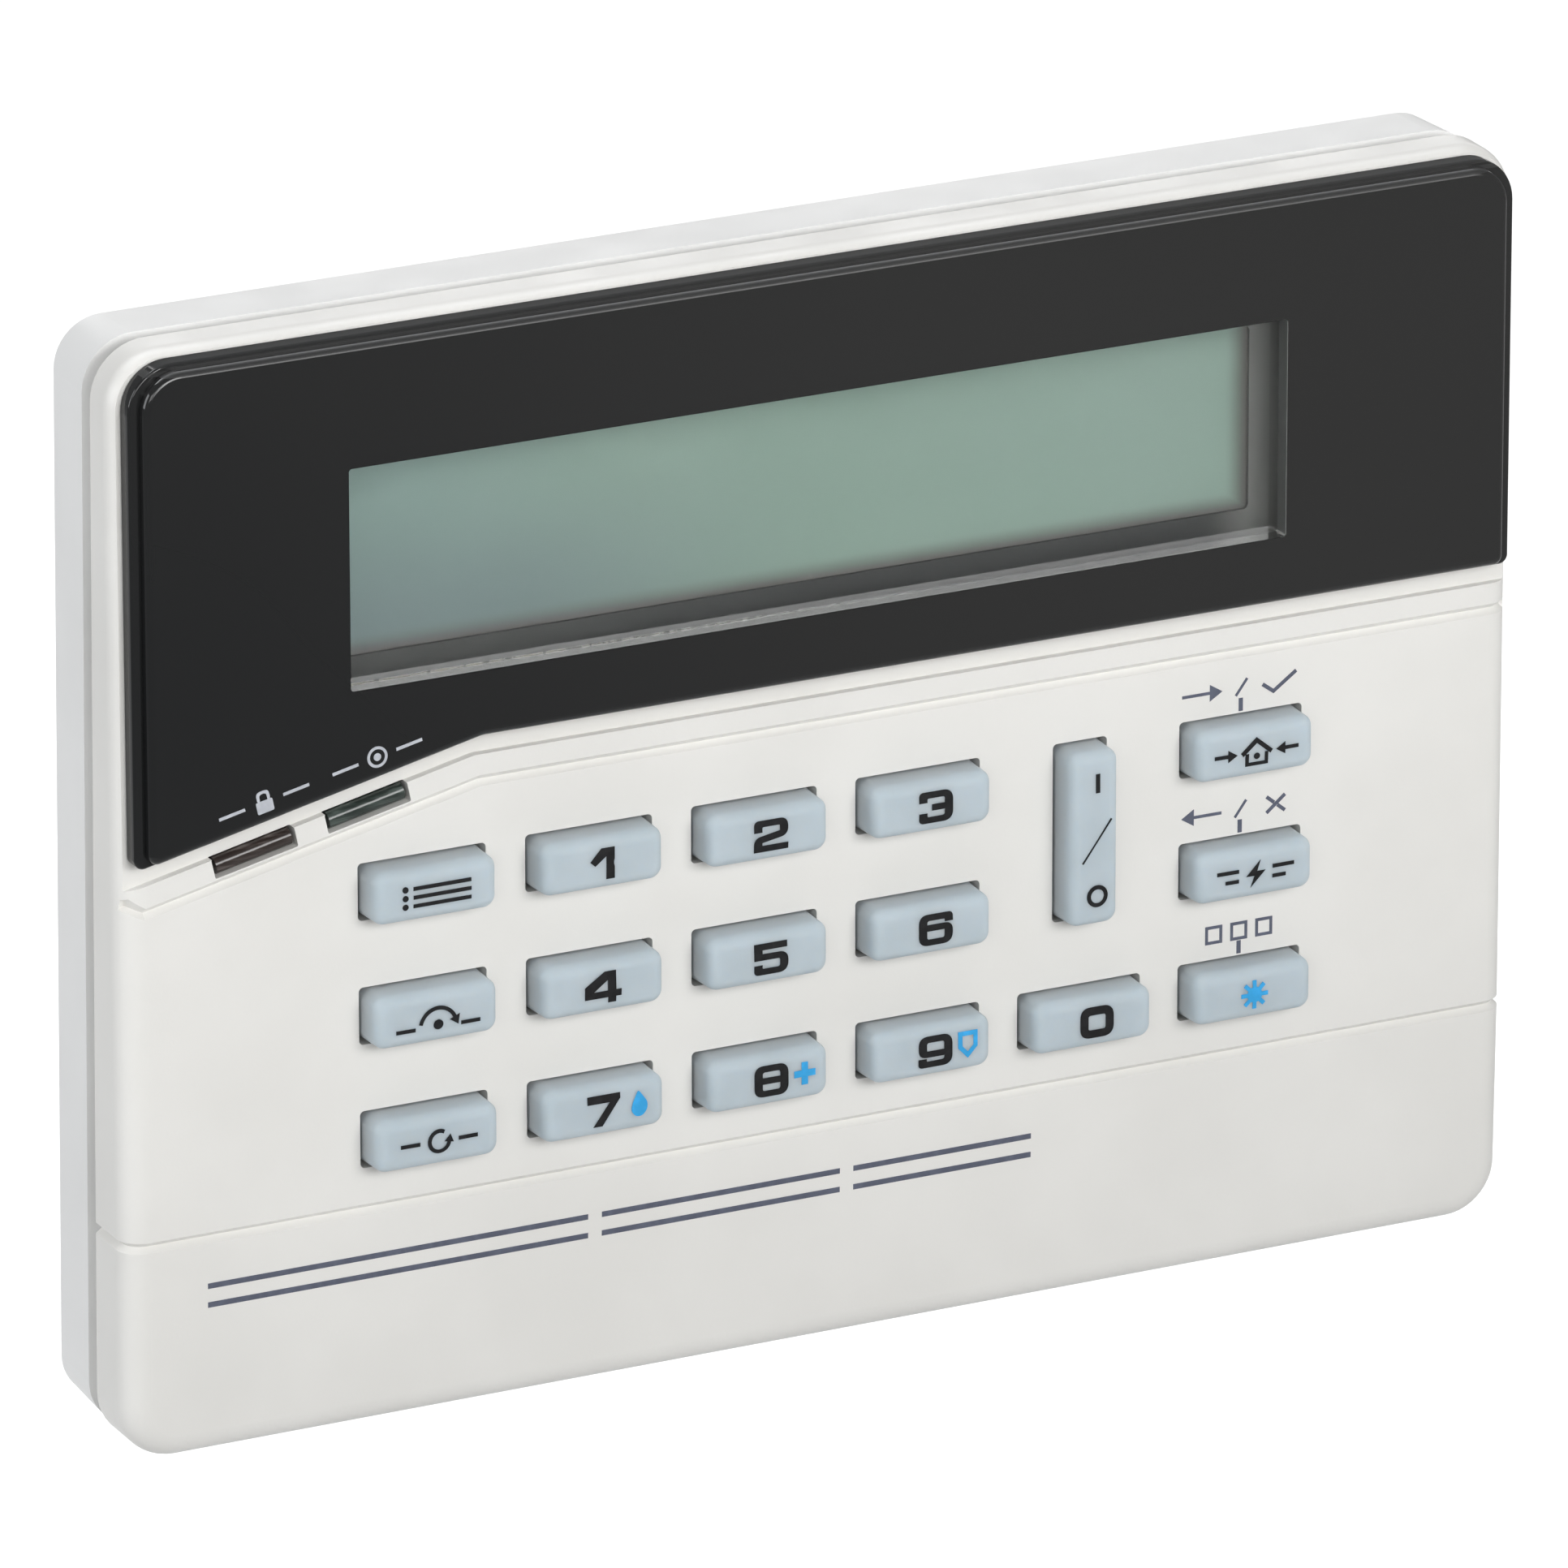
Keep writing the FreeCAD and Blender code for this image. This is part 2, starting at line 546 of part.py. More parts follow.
# ---- keys ----
def make_key(column, z, width, height):
    """Silicone key: a cap through the cover, a flange behind it and a stem to the contact."""
    x = COLUMNS[column]
    cap_w, cap_h = width - 2 * KEY_GAP, height - 2 * KEY_GAP
    cap = block(x, z, cap_w, cap_h, -KEY_PROUD, FLANGE_FRONT, KEY_R)
    cap = round_front(cap, KEY_EDGE_R, lies_at(-KEY_PROUD))
    flange = block(x, z, cap_w + 2 * FLANGE_MARGIN, cap_h + 2 * FLANGE_MARGIN,
                   FLANGE_FRONT, FLANGE_FRONT + FLANGE_T, KEY_R)
    stem = block(x, z, cap_w - 4.0, cap_h - 1.8, FLANGE_FRONT + FLANGE_T - 0.1, STEM_END, 0.6)
    return join([cap, flange, stem])


def make_contact(column, z, width, height):
    """Carbon pill on the back of a key."""
    longer = max(width, height) > 2 * min(width, height) + 5
    size = (2.2, 9.0) if longer else (6.0, 3.0)
    return block(COLUMNS[column], z, size[0], size[1], STEM_END, STEM_END + PILL_T, 0.8)


def save(name, shape):
    for solid in shape.Solids:
        assert solid.isValid() and solid.Volume > 0, name
    shape.exportStep("parts/%s.step" % name)
    print("%-28s solids %2d  volume %10.2f" % (name, len(shape.Solids), shape.Volume))


os.makedirs("parts", exist_ok=True)

save("front_cover", make_front_cover())
save("rear_cover", make_rear_cover())

FACE_PARTS = {
    "lens_frame": make_lens_frame(),
    "lens_window": make_lens_window(),
    "lens_tape": make_lens_tape(),
    "lcd_bezel": make_lcd_bezel(),
    "lcd_glass": make_lcd_glass(),
    "lcd_backlight": make_lcd_backlight(),
    "lcd_board": make_lcd_board(),
    "lcd_jumpers": make_lcd_jumpers(),
    "lcd_screws": make_lcd_screws(),
    "board_screws": make_board_screws(),
    "keypad_mat": make_keypad_mat(),
    "main_board": make_main_board(),
    "key_lights": make_key_lights(),
    "processor_chip": make_processor_chip(),
    "wire_connector": make_wire_connector(),
    "sounder": make_sounder(),
    "capacitors": make_capacitors(),
    "voltage_regulator": make_voltage_regulator(),
    "crystal": make_crystal(),
    "address_jumpers": make_address_jumpers(),
}
for side, slot_x in SLOT_XS.items():
    FACE_PARTS[side + "_led"] = make_led(slot_x)
    FACE_PARTS[side + "_light_pipe"] = make_light_pipe(slot_x)
for key, place in KEYS.items():
    FACE_PARTS[key] = make_key(*place)
    FACE_PARTS[key + "_contact"] = make_contact(*place)
for name, shape in FACE_PARTS.items():
    save(name, on_face(shape))
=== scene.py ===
import json
import math

import bpy
import bmesh
import numpy as np
from mathutils import Matrix, Vector
from mathutils.geometry import tessellate_polygon


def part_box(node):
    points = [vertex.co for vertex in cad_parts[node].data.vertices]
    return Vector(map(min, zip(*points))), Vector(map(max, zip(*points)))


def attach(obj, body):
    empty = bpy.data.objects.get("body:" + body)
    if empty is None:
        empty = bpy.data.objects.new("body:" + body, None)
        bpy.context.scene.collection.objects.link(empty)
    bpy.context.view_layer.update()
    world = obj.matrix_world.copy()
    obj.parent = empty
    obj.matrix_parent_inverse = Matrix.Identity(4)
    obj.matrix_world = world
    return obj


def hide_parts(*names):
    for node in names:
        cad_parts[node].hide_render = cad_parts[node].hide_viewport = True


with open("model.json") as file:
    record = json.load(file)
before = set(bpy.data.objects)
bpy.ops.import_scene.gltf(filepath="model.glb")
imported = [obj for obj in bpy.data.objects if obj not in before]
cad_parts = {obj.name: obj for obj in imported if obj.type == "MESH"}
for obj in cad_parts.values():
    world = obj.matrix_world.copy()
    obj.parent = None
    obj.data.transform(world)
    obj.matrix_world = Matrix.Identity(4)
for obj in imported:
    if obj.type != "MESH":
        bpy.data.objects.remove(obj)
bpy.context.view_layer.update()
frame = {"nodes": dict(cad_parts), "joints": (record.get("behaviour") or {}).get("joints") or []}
NODES = frame["nodes"]
MM = 0.001

# ---- the face's own directions: the keys slide straight behind the face ----
RIGHT = Vector((1, 0, 0))
INWARD = Vector(frame["joints"][0]["axis"]).normalized()
UP = RIGHT.cross(INWARD)
AXES = np.array([RIGHT, INWARD, UP])


def along_axes(node):
    """A node's points measured along the face's directions: right, inward, up."""
    return np.array([v.co for v in NODES[node].data.vertices]) @ AXES.T


def span(node):
    points = along_axes(node)
    return points.min(0), points.max(0)


def at(x, depth, height):
    return RIGHT * x + INWARD * depth + UP * height


# The front face is the foremost part of the cover between the lens and the chin.
cover_points = along_axes("front_cover")
KEY_NAMES = sorted(j["child"] for j in frame["joints"])
key_spans = {name: span(name) for name in KEY_NAMES}
field_low = min(s[0][2] for s in key_spans.values())
field_high = max(s[1][2] for s in key_spans.values())
HALF_FIELD = 0.07               # the keys lie within this distance of the middle
in_field = (cover_points[:, 2] > field_low) & (cover_points[:, 2] < field_high)
in_field &= abs(cover_points[:, 0]) < HALF_FIELD
FACE = cover_points[in_field][:, 1].min()
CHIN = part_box("front_cover")[0].y


# ---- materials ----
class Shader:
    """A Principled material and the few nodes that the materials here are made of."""

    def __init__(self, name, **constants):
        self.material = bpy.data.materials.new(name)
        self.material.use_nodes = True
        self.tree = self.material.node_tree
        self.main = self.tree.nodes["Principled BSDF"]
        self.place = self.new("ShaderNodeTexCoord").outputs["Object"]
        for socket, value in constants.items():
            self.set(socket.replace("_", " "), value)

    def new(self, kind, **properties):
        node = self.tree.nodes.new(kind)
        for key, value in properties.items():
            setattr(node, key, value)
        return node

    def join(self, value, socket):
        if isinstance(value, bpy.types.NodeSocket):
            self.tree.links.new(value, socket)
        elif isinstance(value, tuple) and len(value) == 3 and socket.type == "RGBA":
            socket.default_value = (*value, 1)
        else:
            socket.default_value = value

    def set(self, socket, value):
        self.join(value, self.main.inputs[socket])

    def noise(self, scale, detail=2.0, place=None):
        node = self.new("ShaderNodeTexNoise")
        self.join(place or self.place, node.inputs["Vector"])
        node.inputs["Scale"].default_value = scale
        node.inputs["Detail"].default_value = detail
        return node.outputs["Fac"]

    def cells(self, scale, output="Distance", place=None):
        node = self.new("ShaderNodeTexVoronoi")
        self.join(place or self.place, node.inputs["Vector"])
        node.inputs["Scale"].default_value = scale
        return node.outputs[output]

    def stretched(self, scale):
        node = self.new("ShaderNodeMapping")
        self.join(self.place, node.inputs["Vector"])
        node.inputs["Scale"].default_value = scale
        return node.outputs["Vector"]

    def calc(self, operation, a, b):
        node = self.new("ShaderNodeMath", operation=operation)
        for socket, value in zip(node.inputs, (a, b)):
            self.join(value, socket)
        return node.outputs[0]

    def along(self, direction):
        """Distance along a fixed direction, in metres."""
        node = self.new("ShaderNodeVectorMath", operation="DOT_PRODUCT")
        self.join(self.place, node.inputs[0])
        node.inputs[1].default_value = direction
        return node.outputs["Value"]

    def ease(self, value, low, high, to_low=0.0, to_high=1.0):
        node = self.new("ShaderNodeMapRange", interpolation_type="SMOOTHSTEP")
        for socket, v in zip(node.inputs, (value, low, high, to_low, to_high)):
            self.join(v, socket)
        return node.outputs["Result"]

    def mix(self, share, a, b):
        node = self.new("ShaderNodeMix", data_type="RGBA")
        self.join(share, node.inputs["Factor"])
        self.join(a, node.inputs["A"])
        self.join(b, node.inputs["B"])
        return node.outputs["Result"]

    def bump(self, height, distance, strength, over=None):
        node = self.new("ShaderNodeBump")
        self.join(height, node.inputs["Height"])
        node.inputs["Distance"].default_value = distance
        node.inputs["Strength"].default_value = strength
        if over:
            self.join(over, node.inputs["Normal"])
        self.set("Normal", node.outputs["Normal"])
        return node.outputs["Normal"]

    def on_face(self):
        """Place on the face, with the depth left out."""
        node = self.new("ShaderNodeCombineXYZ")
        self.join(self.along(RIGHT), node.inputs[0])
        self.join(self.along(UP), node.inputs[1])
        return node.outputs[0]

    def specks(self, size, spacing, share):
        """1 on small dots of up to that size, on that share of cells of that spacing."""
        scale, place = 1 / spacing, self.on_face()
        pick = self.new("ShaderNodeSeparateColor")
        self.join(self.cells(scale, "Color", place=place), pick.inputs[0])
        radius = self.calc("MULTIPLY", pick.outputs[1], size / 2 * scale)
        near = self.calc("LESS_THAN", self.cells(scale, place=place), radius)
        return self.calc("MULTIPLY", near, self.calc("LESS_THAN", pick.outputs[0], share))


def grained(name, roughness, grain, depth):
    """A surface with uneven gloss, fine grain and faint waves, whose colour is still to be set."""
    s = Shader(name)
    s.set("Roughness", s.ease(s.noise(160, 3), 0.3, 0.7, roughness - 0.05, roughness + 0.05))
    fine = s.bump(s.noise(1 / grain, 2), depth, 0.6)
    s.bump(s.noise(70, 1), 0.00006, 0.25, over=fine)
    return s


def moulded(name, dark, light, roughness, grain=0.0003, depth=0.00001):
    """Moulded plastic: slightly cloudy colour over a grained surface."""
    s = grained(name, roughness, grain, depth)
    s.set("Base Color", s.mix(s.ease(s.noise(45, 3), 0.3, 0.7), dark, light))
    return s.material


def metal(name, dark, light, roughness):
    """Bare metal with fine streaks."""
    s = Shader(name, Metallic=1.0)
    streak = s.noise(1.0, 3, s.stretched((200, 200, 3000)))
    s.set("Base Color", s.mix(streak, dark, light))
    s.set("Roughness", s.ease(streak, 0.2, 0.8, roughness - 0.07, roughness + 0.1))
    s.bump(streak, 0.00002, 0.4)
    return s.material


def ink(name, colour):
    """Printed ink: a thin matt film, slightly uneven."""
    s = Shader(name, IOR=1.25)
    paler = tuple(c * 1.2 + 0.004 for c in colour)
    s.set("Base Color", s.mix(s.ease(s.noise(900, 3), 0.35, 0.75), colour, paler))
    s.set("Roughness", s.ease(s.noise(2500, 2), 0.3, 0.7, 0.52, 0.68))
    s.bump(s.noise(4000, 2), 0.000006, 0.5)
    return s.material


INK_BLACK = ink("ink_black", (0.014, 0.014, 0.015))
INK_BLUE = ink("ink_blue", (0.045, 0.36, 0.72))
INK_SLATE = ink("ink_slate", (0.105, 0.115, 0.155))
INK_PALE = ink("ink_pale", (0.46, 0.48, 0.52))


def gloss_black():
    """Glossy black lens plate with a little dust and a painted reflection that lightens it towards the upper
    right; its upper rounding and the flange above are duller.
    """
    s = Shader("black_gloss", IOR=1.47)
    # painted reflection: the plate's colour lightens towards the upper right
    tone_and_painted_light = s.mix(s.ease(s.along(RIGHT + UP * 0.8), -0.075, 0.08), (0.0105, 0.011, 0.0115),
                 (0.026, 0.026, 0.0255))
    tone_and_painted_light = s.mix(s.ease(s.noise(14, 2), 0.35, 0.65, 0.0, 0.3), tone_and_painted_light, (0.022, 0.022, 0.0215))
    dust = s.specks(0.0004, 0.008, 0.5)
    s.set("Base Color", s.mix(dust, tone_and_painted_light, (0.2, 0.2, 0.19)))
    shell = along_axes("lens_frame")
    plate_top = shell[shell[:, 1] < shell[:, 1].min() + 0.00005][:, 2].max()
    height = s.along(UP)
    flange = s.ease(height, plate_top + 0.00078, plate_top + 0.0009, 0.0, 0.9)
    fillet = s.calc("MULTIPLY", s.ease(height, plate_top + 0.00002, plate_top + 0.0001),
                    s.ease(height, plate_top + 0.00045, plate_top + 0.00065, 0.5, 0.1))
    polish = s.ease(s.noise(35, 4), 0.35, 0.75, 0.05, 0.1)
    s.set("Roughness", s.calc("MAXIMUM", s.calc("MAXIMUM", polish, fillet), flange))
    s.bump(s.noise(30, 1), 0.00002, 0.2)
    return s.material


def clear_window():
    """Clear acrylic block; its right side is matt, and the rear end of its lower side carries a painted
    highlight, a pale strip fading to the right.
    """
    s = Shader("clear_window", IOR=1.49)
    low, high = span("lens_window")
    # painted highlight: a pale, opaque, rougher strip at the rear end of the lower side, fading to the right
    rear = s.ease(s.along(INWARD), high[1] - 0.00032, high[1] - 0.0002)
    foot = s.ease(s.along(UP), low[2] + 0.00012, low[2] + 0.0002, 1.0, 0.0)
    fade = s.ease(s.along(RIGHT), low[0] + 0.01, low[0] + 0.085, 1.0, 0.0)
    painted_edge_highlight = s.calc("MULTIPLY", s.calc("MULTIPLY", rear, foot), fade)
    painted_edge_highlight = s.calc("MULTIPLY", painted_edge_highlight, s.ease(s.noise(900, 3), 0.3, 0.7, 0.35, 1.0))
    clear = s.mix(s.noise(30, 1), (0.985, 0.99, 0.985), (0.995, 0.995, 0.995))
    matt = s.ease(s.along(RIGHT), high[0] - 0.00006, high[0] - 0.00002)
    s.set("Base Color", s.mix(matt, s.mix(painted_edge_highlight, clear, (0.62, 0.6, 0.54)), (0.2, 0.2, 0.195)))
    opaque_share = s.calc("MAXIMUM", painted_edge_highlight, matt)
    s.set("Transmission Weight", s.calc("SUBTRACT", 1.0, opaque_share))
    s.set("Roughness", s.ease(opaque_share, 0.0, 1.0, 0.0, 0.6))
    return s.material


def dark_steel():
    """Display frame: darker in the middle as painted shade, paler at the right end as a painted highlight."""
    s = grained("dark_steel", 0.5, 0.0005, 0.00001)
    low, high = span("lcd_bezel")
    tone_and_painted_light = s.mix(s.noise(60, 2), (0.088, 0.092, 0.089), (0.11, 0.113, 0.11))
    # painted shade: darker from a little past the left end onwards
    tone_and_painted_light = s.mix(s.ease(s.along(RIGHT), low[0] + 0.015, low[0] + 0.06), tone_and_painted_light, (0.062, 0.065, 0.064))
    # painted highlight: paler at the right end
    painted_pale_end = s.ease(s.along(RIGHT), high[0] - 0.011, high[0] - 0.004)
    s.set("Base Color", s.mix(painted_pale_end, tone_and_painted_light, (0.28, 0.285, 0.27)))
    return s.material


def display_glass():
    """Grey-green display: cloudy, darker towards the left and bluer towards the lower left, with painted
    shade inside the frame's right and lower edges.
    """
    s = Shader("display_glass", Roughness=0.32, IOR=1.45)
    low, high = span("lcd_bezel")
    view_right, view_low = high[0] - 0.0052, low[2] + 0.0059     # edges of the frame's opening
    cloud = s.ease(s.noise(22, 2), 0.35, 0.65)
    green = s.mix(cloud, (0.395, 0.555, 0.47), (0.43, 0.588, 0.51))
    left = s.ease(s.along(RIGHT), low[0] + 0.005, low[0] + 0.045, 0.8, 0.0)
    green = s.mix(left, green, (0.345, 0.49, 0.455))
    blue = s.calc("MULTIPLY", s.ease(s.along(RIGHT), low[0] + 0.02, low[0] + 0.065, 0.75, 0.0),
                  s.ease(s.along(UP), low[2] + 0.008, low[2] + 0.024, 1.0, 0.0))
    green = s.mix(blue, green, (0.285, 0.365, 0.375))
    # painted shade inside the frame's right and lower edges
    side = s.ease(s.along(RIGHT), view_right - 0.0028, view_right + 0.0002)
    foot = s.ease(s.along(UP), view_low - 0.0002, view_low + 0.0022, 1.0, 0.0)
    shade = s.calc("MAXIMUM", side, foot)
    s.set("Base Color", s.mix(shade, green, (0.19, 0.18, 0.17)))
    s.bump(s.noise(60, 1), 0.000004, 0.2)
    return s.material


def silicone():
    """Blue-grey translucent rubber, with painted shade that darkens it towards the opening, where less light
    gets in.
    """
    s = Shader("silicone", Subsurface_Weight=0.75, Subsurface_Scale=0.002,
               Subsurface_Radius=(1.0, 1.15, 1.3))
    s.main.subsurface_method = "RANDOM_WALK"
    pale = s.mix(s.ease(s.noise(180, 2), 0.35, 0.65), (0.482, 0.553, 0.595), (0.506, 0.577, 0.622))
    # painted shade: the cap's colour darkens towards the opening, behind the face
    painted_recess_shade = s.ease(s.along(INWARD), FACE - 0.0036, FACE + 0.0008)
    s.set("Base Color", s.mix(painted_recess_shade, pale, (0.37, 0.4, 0.42)))
    s.set("Roughness", s.ease(s.noise(400, 2), 0.3, 0.7, 0.68, 0.8))
    s.bump(s.noise(3000, 2), 0.000008, 0.5)
    return s.material


def green_board():
    """Solder mask over copper tracks, with a weave under it."""
    s = Shader("green_board", IOR=1.45)
    brick = s.new("ShaderNodeTexBrick")      # its mortar lines are the tracks
    turned = s.new("ShaderNodeMapping")
    s.join(s.place, turned.inputs["Vector"])
    turned.inputs["Rotation"].default_value = (math.pi / 2, 0, 0)
    s.join(turned.outputs["Vector"], brick.inputs["Vector"])
    for key, value in (("Scale", 230.0), ("Mortar Size", 0.035), ("Brick Width", 2.2),
                       ("Row Height", 0.4)):
        brick.inputs[key].default_value = value
    tracks = brick.outputs["Fac"]
    mask = s.mix(tracks, (0.012, 0.105, 0.042), (0.02, 0.165, 0.065))
    s.set("Base Color", s.mix(s.ease(s.noise(90, 3), 0.4, 0.7), mask, (0.014, 0.125, 0.05)))
    s.set("Roughness", s.ease(s.noise(300, 2), 0.3, 0.7, 0.28, 0.4))
    weave = s.bump(s.noise(1500, 1), 0.00001, 0.3)
    s.bump(tracks, 0.00003, 0.8, over=weave)
    return s.material


def smoked(name, deep, light):
    """Tinted clear bar: dark, with faint streaks inside."""
    s = Shader(name, IOR=1.49, Roughness=0.12)
    streak = s.noise(1.0, 3, s.stretched((120, 1500, 1800)))
    s.set("Base Color", s.mix(s.ease(streak, 0.45, 0.8), deep, light))
    s.bump(streak, 0.00003, 0.5)
    return s.material


def lamp(name, colour, deep):
    s = Shader(name, Roughness=0.18, IOR=1.5, Transmission_Weight=0.35)
    s.set("Base Color", s.mix(s.noise(600, 2), deep, colour))
    s.bump(s.noise(500, 1), 0.00002, 0.3)
    return s.material


MATERIALS = {
    "white_case": moulded("white_case", (0.775, 0.765, 0.735), (0.815, 0.805, 0.775), 0.42),
    "black_gloss": gloss_black(),
    "clear_window": clear_window(),
    "black_tape": moulded("black_tape", (0.02, 0.02, 0.02), (0.035, 0.035, 0.034), 0.8, 0.0006, 0.00003),
    "dark_steel": dark_steel(),
    "display_glass": display_glass(),
    "diffuser": moulded("diffuser", (0.66, 0.72, 0.62), (0.74, 0.79, 0.7), 0.55),
    "green_board": green_board(),
    "tinned_wire": metal("tinned_wire", (0.6, 0.6, 0.58), (0.8, 0.79, 0.77), 0.25),
    "zinc_screw": metal("zinc_screw", (0.5, 0.5, 0.47), (0.72, 0.71, 0.68), 0.3),
    "silicone": silicone(),
    "carbon": moulded("carbon", (0.012, 0.012, 0.012), (0.024, 0.024, 0.024), 0.75, 0.0002, 0.00002),
    "black_plastic": moulded("black_plastic", (0.012, 0.012, 0.013), (0.022, 0.022, 0.023), 0.5),
    "connector_plastic": moulded("connector_plastic", (0.66, 0.63, 0.52), (0.74, 0.71, 0.61), 0.4),
    "capacitor_can": metal("capacitor_can", (0.58, 0.58, 0.57), (0.76, 0.76, 0.75), 0.32),
    "nickel_can": metal("nickel_can", (0.6, 0.58, 0.54), (0.78, 0.76, 0.71), 0.22),
    "red_led": lamp("red_led", (0.45, 0.02, 0.015), (0.25, 0.01, 0.01)),
    "green_led": lamp("green_led", (0.03, 0.3, 0.05), (0.015, 0.16, 0.03)),
    "smoked_red": smoked("smoked_red", (0.035, 0.026, 0.023), (0.16, 0.135, 0.125)),
    "smoked_green": smoked("smoked_green", (0.026, 0.034, 0.03), (0.12, 0.15, 0.135)),
}
# the rear cover's white is more neutral than the front's, and lighter as painted light
REAR_WHITE = moulded("white_case_rear", (0.82, 0.82, 0.81), (0.86, 0.86, 0.85), 0.48)

for node in NODES.values():
    slot = node.data.materials[0].name
    node.data.materials[0] = MATERIALS[slot]
NODES["rear_cover"].data.materials[0] = REAR_WHITE


# ---- mesh helpers ----
def add_object(name, mesh, material, body):
    obj = bpy.data.objects.new(name, mesh)
    bpy.context.scene.collection.objects.link(obj)
    mesh.materials.append(material)
    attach(obj, body)
    return obj


def finish_mesh(name, bm, smooth):
    bmesh.ops.recalc_face_normals(bm, faces=bm.faces)
    for face in bm.faces:
        face.smooth = smooth
    mesh = bpy.data.meshes.new(name)
    bm.to_mesh(mesh)
    bm.free()
    return mesh


# ---- flat marks: outlines in millimetres, x to the right and z up ----
def soften(points, reach, steps=8):
    """A closed outline whose corners are rounded, starting that far before each corner."""
    points = [Vector(p) for p in points]
    count, path = len(points), []
    for i, corner in enumerate(points):
        before, after = points[i - 1] - corner, points[(i + 1) % count] - corner
        size = reach[i] if isinstance(reach, (list, tuple)) else reach
        size = min(size, before.length * 0.49, after.length * 0.49)
        if size < 0.01:
            path.append(corner)
            continue
        start, end = corner + before.normalized() * size, corner + after.normalized() * size
        for k in range(steps + 1):
            t = k / steps
            path.append(start * (1 - t) ** 2 + corner * 2 * t * (1 - t) + end * t ** 2)
    return path


def stroke(points, upright, level, reach=0.0, closed=False):
    """Loops round a stroke: its upright parts and its level parts have their own widths."""
    points = [Vector(p) for p in points]
    reach = list(reach) if isinstance(reach, (list, tuple)) else [reach] * len(points)
    count, sides, rounds = len(points), ([], []), ([], [])
    for i, p in enumerate(points):
        ways = []
        if closed or i > 0:
            ways.append((p - points[i - 1]).normalized())
        if closed or i < count - 1:
            ways.append((points[(i + 1) % count] - p).normalized())
        normals = [Vector((-w.y, w.x)) for w in ways]
        turn = 0.0
        n = normals[0]
        if len(normals) == 2:
            turn = ways[0].x * ways[1].y - ways[0].y * ways[1].x
            n = (normals[0] + normals[1]) / max(1 + normals[0].dot(normals[1]), 0.3)
        offset = Vector((n.x * upright / 2, n.y * level / 2))
        thick = (upright + level) / 4
        for side, sign in enumerate((1, -1)):
            sides[side].append(p + offset * sign)
            inner = turn * sign > 0
            outer_reach = reach[i] + thick if reach[i] else 0.0
            rounds[side].append(max(reach[i] - thick, 0.0) if inner else outer_reach)
    if closed:
        return [soften(side, size) for side, size in zip(sides, rounds)]
    return [soften(sides[0] + sides[1][::-1], rounds[0] + rounds[1][::-1])]


def circle(x, z, radius, parts):
    angles = [math.tau * k / parts for k in range(parts)]
    return [Vector((x + radius * math.cos(a), z + radius * math.sin(a))) for a in angles]


def ring(x, z, radius, width):
    return stroke(circle(x, z, radius, 40), width, width, closed=True)


def disc(x, z, radius):
    return [circle(x, z, radius, 28)]


def bar(x0, z0, x1, z1, width):
    return stroke([(x0, z0), (x1, z1)], width, width)


def polygon(points, reach=0.0):
    return [soften(points, reach, 4)]


def shifted(loops, x=0.0, z=0.0, turn=0.0):
    spin = Matrix.Rotation(math.radians(turn), 2)
    return [[spin @ p + Vector((x, z)) for p in loop] for loop in loops]


def area(loop):
    return sum(a.x * b.y - b.x * a.y for a, b in zip(loop, loop[1:] + loop[:1])) / 2


FILM_TOP, FILM_FOOT = 0.00004, -0.00001       # a printed film's front and back, from its surface


def make_mark(name, shapes, to_space, material, body):
    """A thin printed film. Each shape is an outline followed by its holes; to_space places a point."""
    bm = bmesh.new()
    for loops in shapes:
        loops = sorted(loops, key=lambda loop: -abs(area(loop)))
        flat = [p for loop in loops for p in loop]
        triangles = tessellate_polygon([[Vector((p.x, p.y, 0)) for p in loop] for loop in loops])
        front = [bm.verts.new(to_space(p.x * MM, p.y * MM, FILM_TOP)) for p in flat]
        back = [bm.verts.new(to_space(p.x * MM, p.y * MM, FILM_FOOT)) for p in flat]
        for a, b, c in triangles:
            bm.faces.new((front[a], front[b], front[c]))
            bm.faces.new((back[c], back[b], back[a]))
        start = 0
        for loop in loops:
            for k in range(len(loop)):
                i, j = start + k, start + (k + 1) % len(loop)
                bm.faces.new((front[i], front[j], back[j], back[i]))
            start += len(loop)
    return add_object(name, finish_mesh(name, bm, False), material, body)


# ---- keys: soft caps that stand for the CAD keys ----
CAP_CROWN = 0.0001
CAP_SWELL = 0.0001              # the soft caps fill their openings a little more than the nominal size
CAP_ROUND = 0.0013              # rounding along the front edges
CAP_CORNER = 0.0014             # corner radius of the sides, and of the face where the rounding ends
FACE_CORNER = 0.0009
DRAFT = 0.00012                 # the sides draw in by this much towards the front
FLANGE = 0.00115                # the flange's reach past the cap
FLANGE_CORNER = 0.0015
FLANGE_DEPTH, FLANGE_T = 0.0027, 0.0008       # the flange's front, behind the face; its thickness
STEM_INSET_W, STEM_INSET_H, STEM_CORNER = 0.002, 0.0009, 0.0006
CORNER_PARTS, SIDE_PARTS, ROUND_PARTS = 8, 4, 8


def cap_sag(x, z, half_w, half_h):
    """How far the slightly crowned face lies behind its highest point."""
    u, v = min(abs(x) / half_w, 1.0), min(abs(z) / half_h, 1.0)
    return CAP_CROWN * (1 - (1 - u * u) * (1 - v * v))


def rounded_ring(half_w, half_h, radius):
    """Points round a rounded rectangle, the same number whatever its size."""
    radius = max(min(radius, half_w, half_h), 1e-6)
    points = []
    for corner, (sx, sz) in enumerate(((1, 1), (-1, 1), (-1, -1), (1, -1))):
        centre = (sx * (half_w - radius), sz * (half_h - radius))
        for k in range(CORNER_PARTS + 1):
            angle = math.pi / 2 * (corner + k / CORNER_PARTS)
            points.append((centre[0] + radius * math.cos(angle), centre[1] + radius * math.sin(angle)))
    return points


